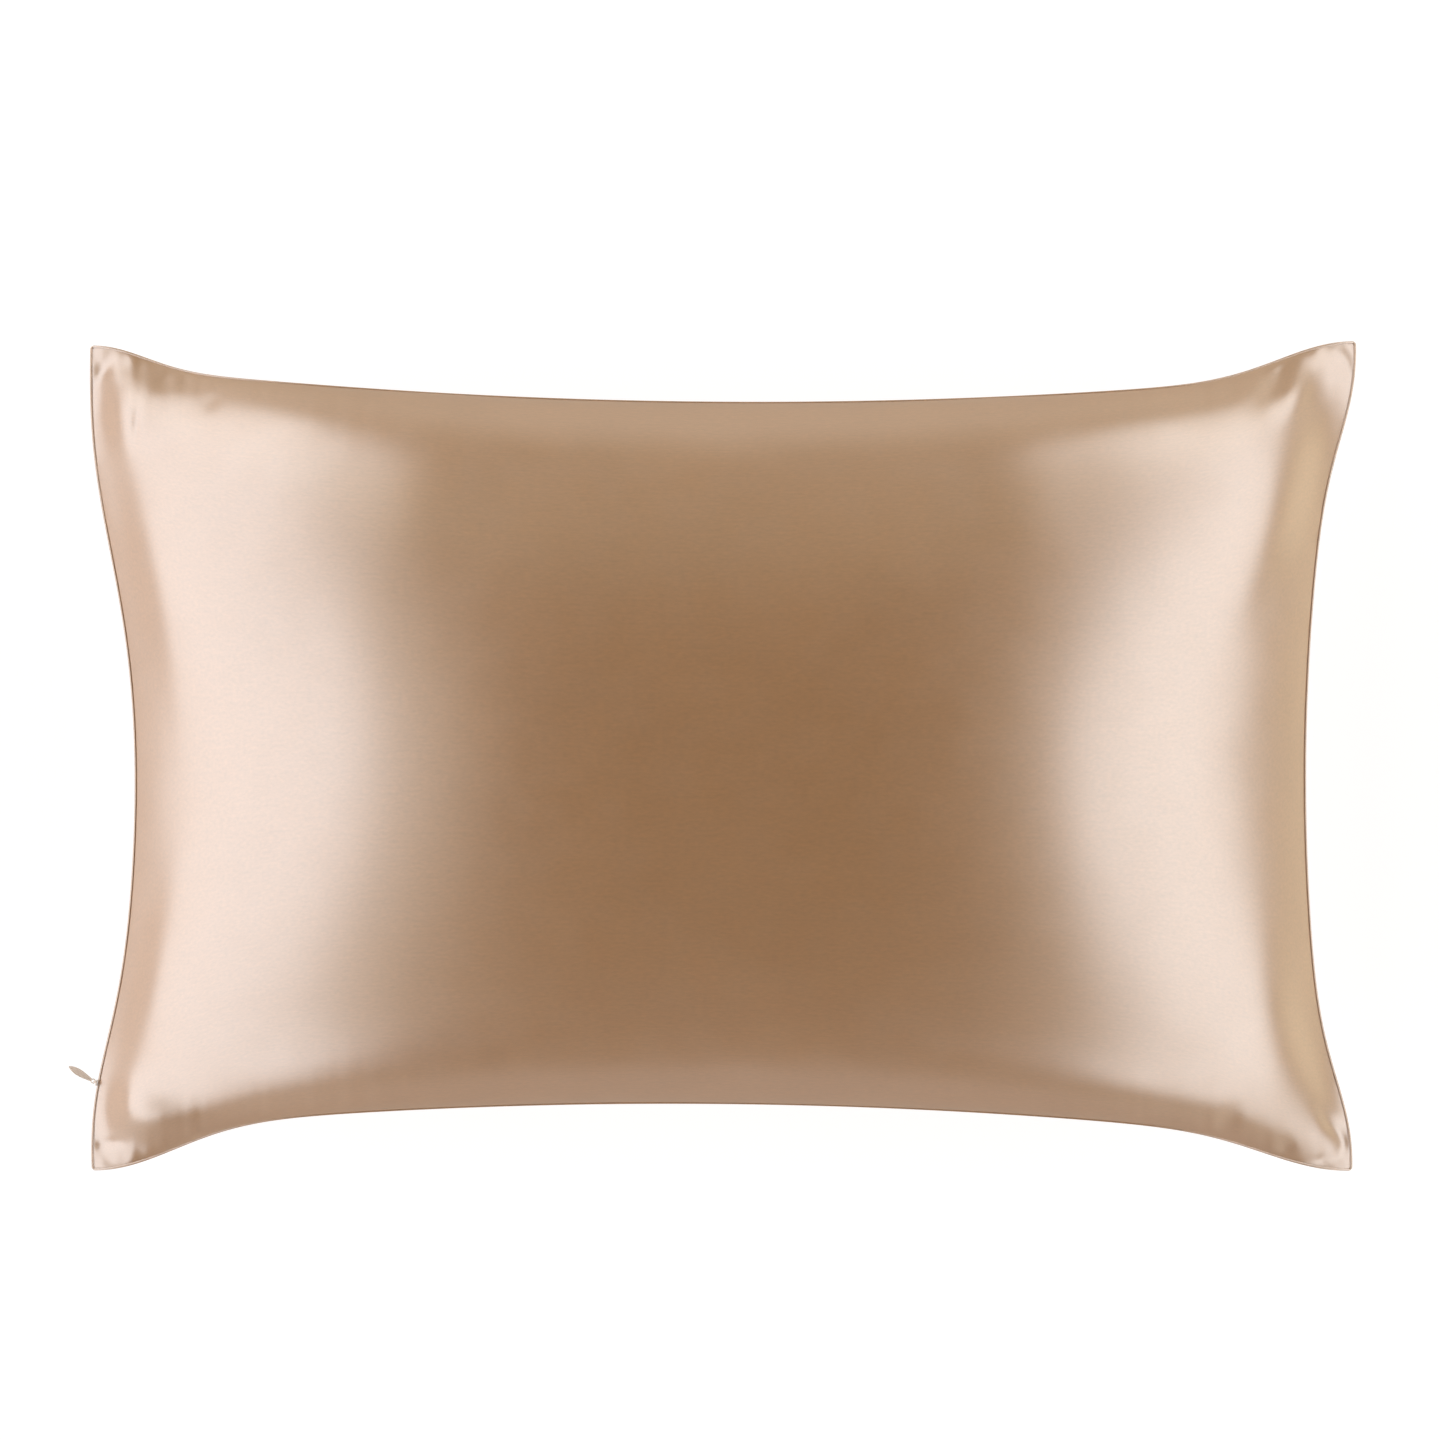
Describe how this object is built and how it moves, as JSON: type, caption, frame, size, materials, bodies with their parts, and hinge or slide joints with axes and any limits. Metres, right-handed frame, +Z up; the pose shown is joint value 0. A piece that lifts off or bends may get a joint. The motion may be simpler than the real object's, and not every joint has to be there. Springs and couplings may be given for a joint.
{
  "type": "filled pillowcase",
  "caption": "Satin pillowcase with a concealed zip, filled by a plump bed pillow, with drawn-in sides, a knife-edge seam and pointed ears, lying on its back",
  "frame": {"origin": "middle of the flat patch that the back rests on", "axes": "+X along the long side, +Y along the short side, +Z up out of the face; the zip pull is at the -X, -Y corner"},
  "size_m": [0.7421, 0.4784, 0.1952],
  "materials": {
    "satin": "lustrous champagne silk satin, smooth face",
    "zip_metal": "satin beige lacquer"
  },
  "bodies": {
    "root": {"pillowcase": "satin", "zip_slider": "zip_metal", "zip_pull": "zip_metal"}
  },
  "joints": []
}
